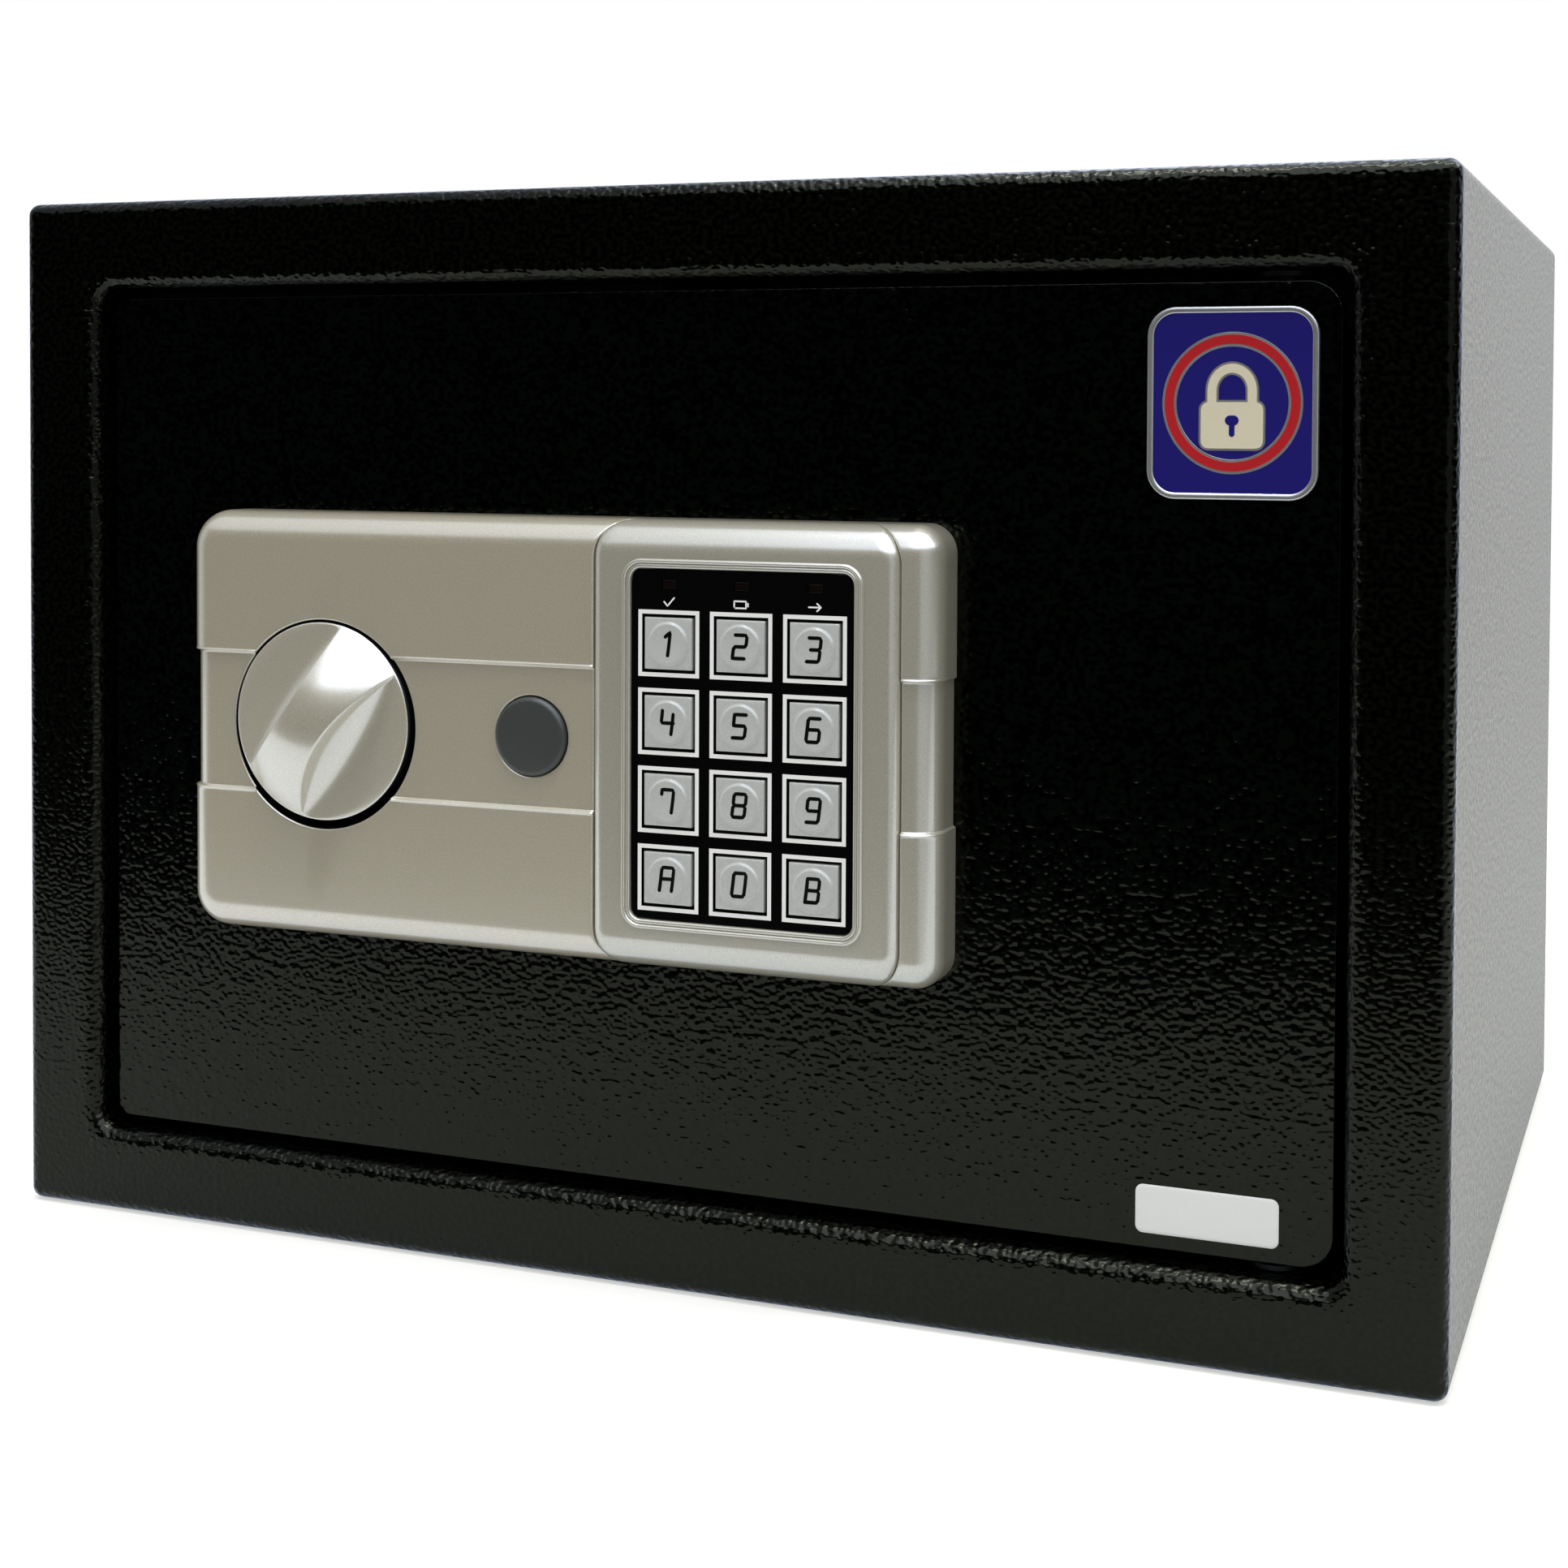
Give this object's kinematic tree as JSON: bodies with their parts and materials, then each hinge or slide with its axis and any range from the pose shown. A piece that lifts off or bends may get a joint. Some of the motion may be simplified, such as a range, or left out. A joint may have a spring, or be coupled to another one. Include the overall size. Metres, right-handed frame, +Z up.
{
  "type": "hotel safe",
  "caption": "Free-standing electronic room safe: folded steel cabinet, recessed hinged door, silver lock panel with keypad and turn knob, sliding bolts inside the door.",
  "frame": {"origin": "middle of the underside of the cabinet, on the surface it stands on", "axes": "+X to the right seen from the front, +Y into the safe, +Z up; the door is on the -Y side"},
  "size_m": [0.35, 0.2673, 0.25],
  "materials": {
    "grey_body": "light speckled grey powder coat",
    "black_frame": "glossy black wrinkle powder coat",
    "silver": "warm silver lacquer on moulded plastic",
    "keypad_black": "black keypad face with white frames",
    "key_grey": "light grey key with a black legend",
    "cap_grey": "dark grey plastic",
    "lamp": "dark indicator lens",
    "steel": "turned bright steel",
    "zinc_steel": "zinc-plated sheet steel",
    "board": "green circuit board",
    "copper": "enamelled copper winding",
    "brass": "machined brass",
    "felt": "dark grey felt",
    "black_plastic": "moulded black plastic",
    "battery": "printed cell jacket, blank",
    "red": "red plastic",
    "badge": null,
    "label": "blank light label",
    "wire": "black cable sleeve"
  },
  "bodies": {
    "cabinet": {"cabinet_wrap": "grey_body", "back_panel": "grey_body", "front_frame": "black_frame", "floor_mat": "felt", "hinge_bracket_upper": "zinc_steel", "hinge_bracket_lower": "zinc_steel"},
    "door": {"door_plate": "black_frame", "door_tray": "black_frame", "hinge_pin_upper": "steel", "hinge_pin_lower": "steel", "lock_faceplate": "silver", "keypad_housing": "silver", "keypad_overlay": "keypad_black", "keypad_board": "board", "indicator_lamp_1": "lamp", "indicator_lamp_2": "lamp", "indicator_lamp_3": "lamp", "override_lock_housing": "brass", "solenoid_frame": "zinc_steel", "solenoid_coil": "copper", "inner_cover": "black_frame", "battery_box": "black_plastic", "battery_1": "battery", "battery_2": "battery", "battery_3": "battery", "battery_4": "battery", "cover_screw_1": "steel", "cover_screw_2": "steel", "cover_screw_3": "steel", "cover_screw_4": "steel", "door_badge": "badge", "door_label": "label", "carriage_stud_upper": "steel", "carriage_stud_lower": "steel", "wiring_loom": "wire", "plunger_spring": "steel"},
    "knob": {"knob": "silver", "knob_spindle": "steel", "knob_cam": "zinc_steel"},
    "bolt_work": {"bolt_carriage": "zinc_steel", "bolt_upper": "steel", "bolt_lower": "steel"},
    "plunger": {"solenoid_plunger": "steel"},
    "override_cap": {"override_cap": "cap_grey"},
    "override_core": {"override_core": "brass"},
    "reset_button": {"reset_button": "red"},
    "battery_cover": {"battery_cover": "black_plastic"},
    "key_1": {"key_1": "key_grey"},
    "key_2": {"key_2": "key_grey"},
    "key_3": {"key_3": "key_grey"},
    "key_4": {"key_4": "key_grey"},
    "key_5": {"key_5": "key_grey"},
    "key_6": {"key_6": "key_grey"},
    "key_7": {"key_7": "key_grey"},
    "key_8": {"key_8": "key_grey"},
    "key_9": {"key_9": "key_grey"},
    "key_a": {"key_a": "key_grey"},
    "key_0": {"key_0": "key_grey"},
    "key_b": {"key_b": "key_grey"}
  },
  "joints": [
    {"name": "door_hinge", "type": "hinge", "parent": "cabinet", "child": "door", "pos_m": [0.1382, -0.1127, 0.1245], "axis": [0, 0, 1], "range_deg": [0, 100]},
    {"name": "knob_turn", "type": "hinge", "parent": "door", "child": "knob", "pos_m": [-0.0828, -0.12, 0.1254], "axis": [0, -1, 0], "range_deg": [0, 70]},
    {"name": "bolt_slide", "type": "slide", "parent": "door", "child": "bolt_work", "axis": [-1, 0, 0], "range_m": [0, 0.0172]},
    {"name": "plunger_slide", "type": "slide", "parent": "door", "child": "plunger", "axis": [0, 0, -1], "range_m": [0, 0.005], "stiffness_N_per_m": 250, "springref_m": -0.003, "deforming": ["plunger_spring"]},
    {"name": "override_cap_pull", "type": "slide", "parent": "door", "child": "override_cap", "axis": [0, -1, 0], "range_m": [0, 0.015]},
    {"name": "override_core_turn", "type": "hinge", "parent": "door", "child": "override_core", "pos_m": [-0.028, -0.11, 0.1254], "axis": [0, -1, 0], "range_deg": [0, 90]},
    {"name": "reset_press", "type": "slide", "parent": "door", "child": "reset_button", "axis": [0, -1, 0], "range_m": [0, 0.0015], "stiffness_N_per_m": 400, "springref_m": -0.001},
    {"name": "battery_cover_slide", "type": "slide", "parent": "door", "child": "battery_cover", "axis": [1, 0, 0], "range_m": [0, 0.06]},
    {"name": "key_1_press", "type": "slide", "parent": "door", "child": "key_1", "axis": [0, 1, 0], "range_m": [0, 0.0005], "stiffness_N_per_m": 800, "springref_m": -0.0005},
    {"name": "key_2_press", "type": "slide", "parent": "door", "child": "key_2", "axis": [0, 1, 0], "range_m": [0, 0.0005], "stiffness_N_per_m": 800, "springref_m": -0.0005},
    {"name": "key_3_press", "type": "slide", "parent": "door", "child": "key_3", "axis": [0, 1, 0], "range_m": [0, 0.0005], "stiffness_N_per_m": 800, "springref_m": -0.0005},
    {"name": "key_4_press", "type": "slide", "parent": "door", "child": "key_4", "axis": [0, 1, 0], "range_m": [0, 0.0005], "stiffness_N_per_m": 800, "springref_m": -0.0005},
    {"name": "key_5_press", "type": "slide", "parent": "door", "child": "key_5", "axis": [0, 1, 0], "range_m": [0, 0.0005], "stiffness_N_per_m": 800, "springref_m": -0.0005},
    {"name": "key_6_press", "type": "slide", "parent": "door", "child": "key_6", "axis": [0, 1, 0], "range_m": [0, 0.0005], "stiffness_N_per_m": 800, "springref_m": -0.0005},
    {"name": "key_7_press", "type": "slide", "parent": "door", "child": "key_7", "axis": [0, 1, 0], "range_m": [0, 0.0005], "stiffness_N_per_m": 800, "springref_m": -0.0005},
    {"name": "key_8_press", "type": "slide", "parent": "door", "child": "key_8", "axis": [0, 1, 0], "range_m": [0, 0.0005], "stiffness_N_per_m": 800, "springref_m": -0.0005},
    {"name": "key_9_press", "type": "slide", "parent": "door", "child": "key_9", "axis": [0, 1, 0], "range_m": [0, 0.0005], "stiffness_N_per_m": 800, "springref_m": -0.0005},
    {"name": "key_a_press", "type": "slide", "parent": "door", "child": "key_a", "axis": [0, 1, 0], "range_m": [0, 0.0005], "stiffness_N_per_m": 800, "springref_m": -0.0005},
    {"name": "key_0_press", "type": "slide", "parent": "door", "child": "key_0", "axis": [0, 1, 0], "range_m": [0, 0.0005], "stiffness_N_per_m": 800, "springref_m": -0.0005},
    {"name": "key_b_press", "type": "slide", "parent": "door", "child": "key_b", "axis": [0, 1, 0], "range_m": [0, 0.0005], "stiffness_N_per_m": 800, "springref_m": -0.0005}
  ],
  "couplings": [
    {"joint": "knob_turn", "follows": "bolt_slide", "rad_per_m": 71}
  ]
}
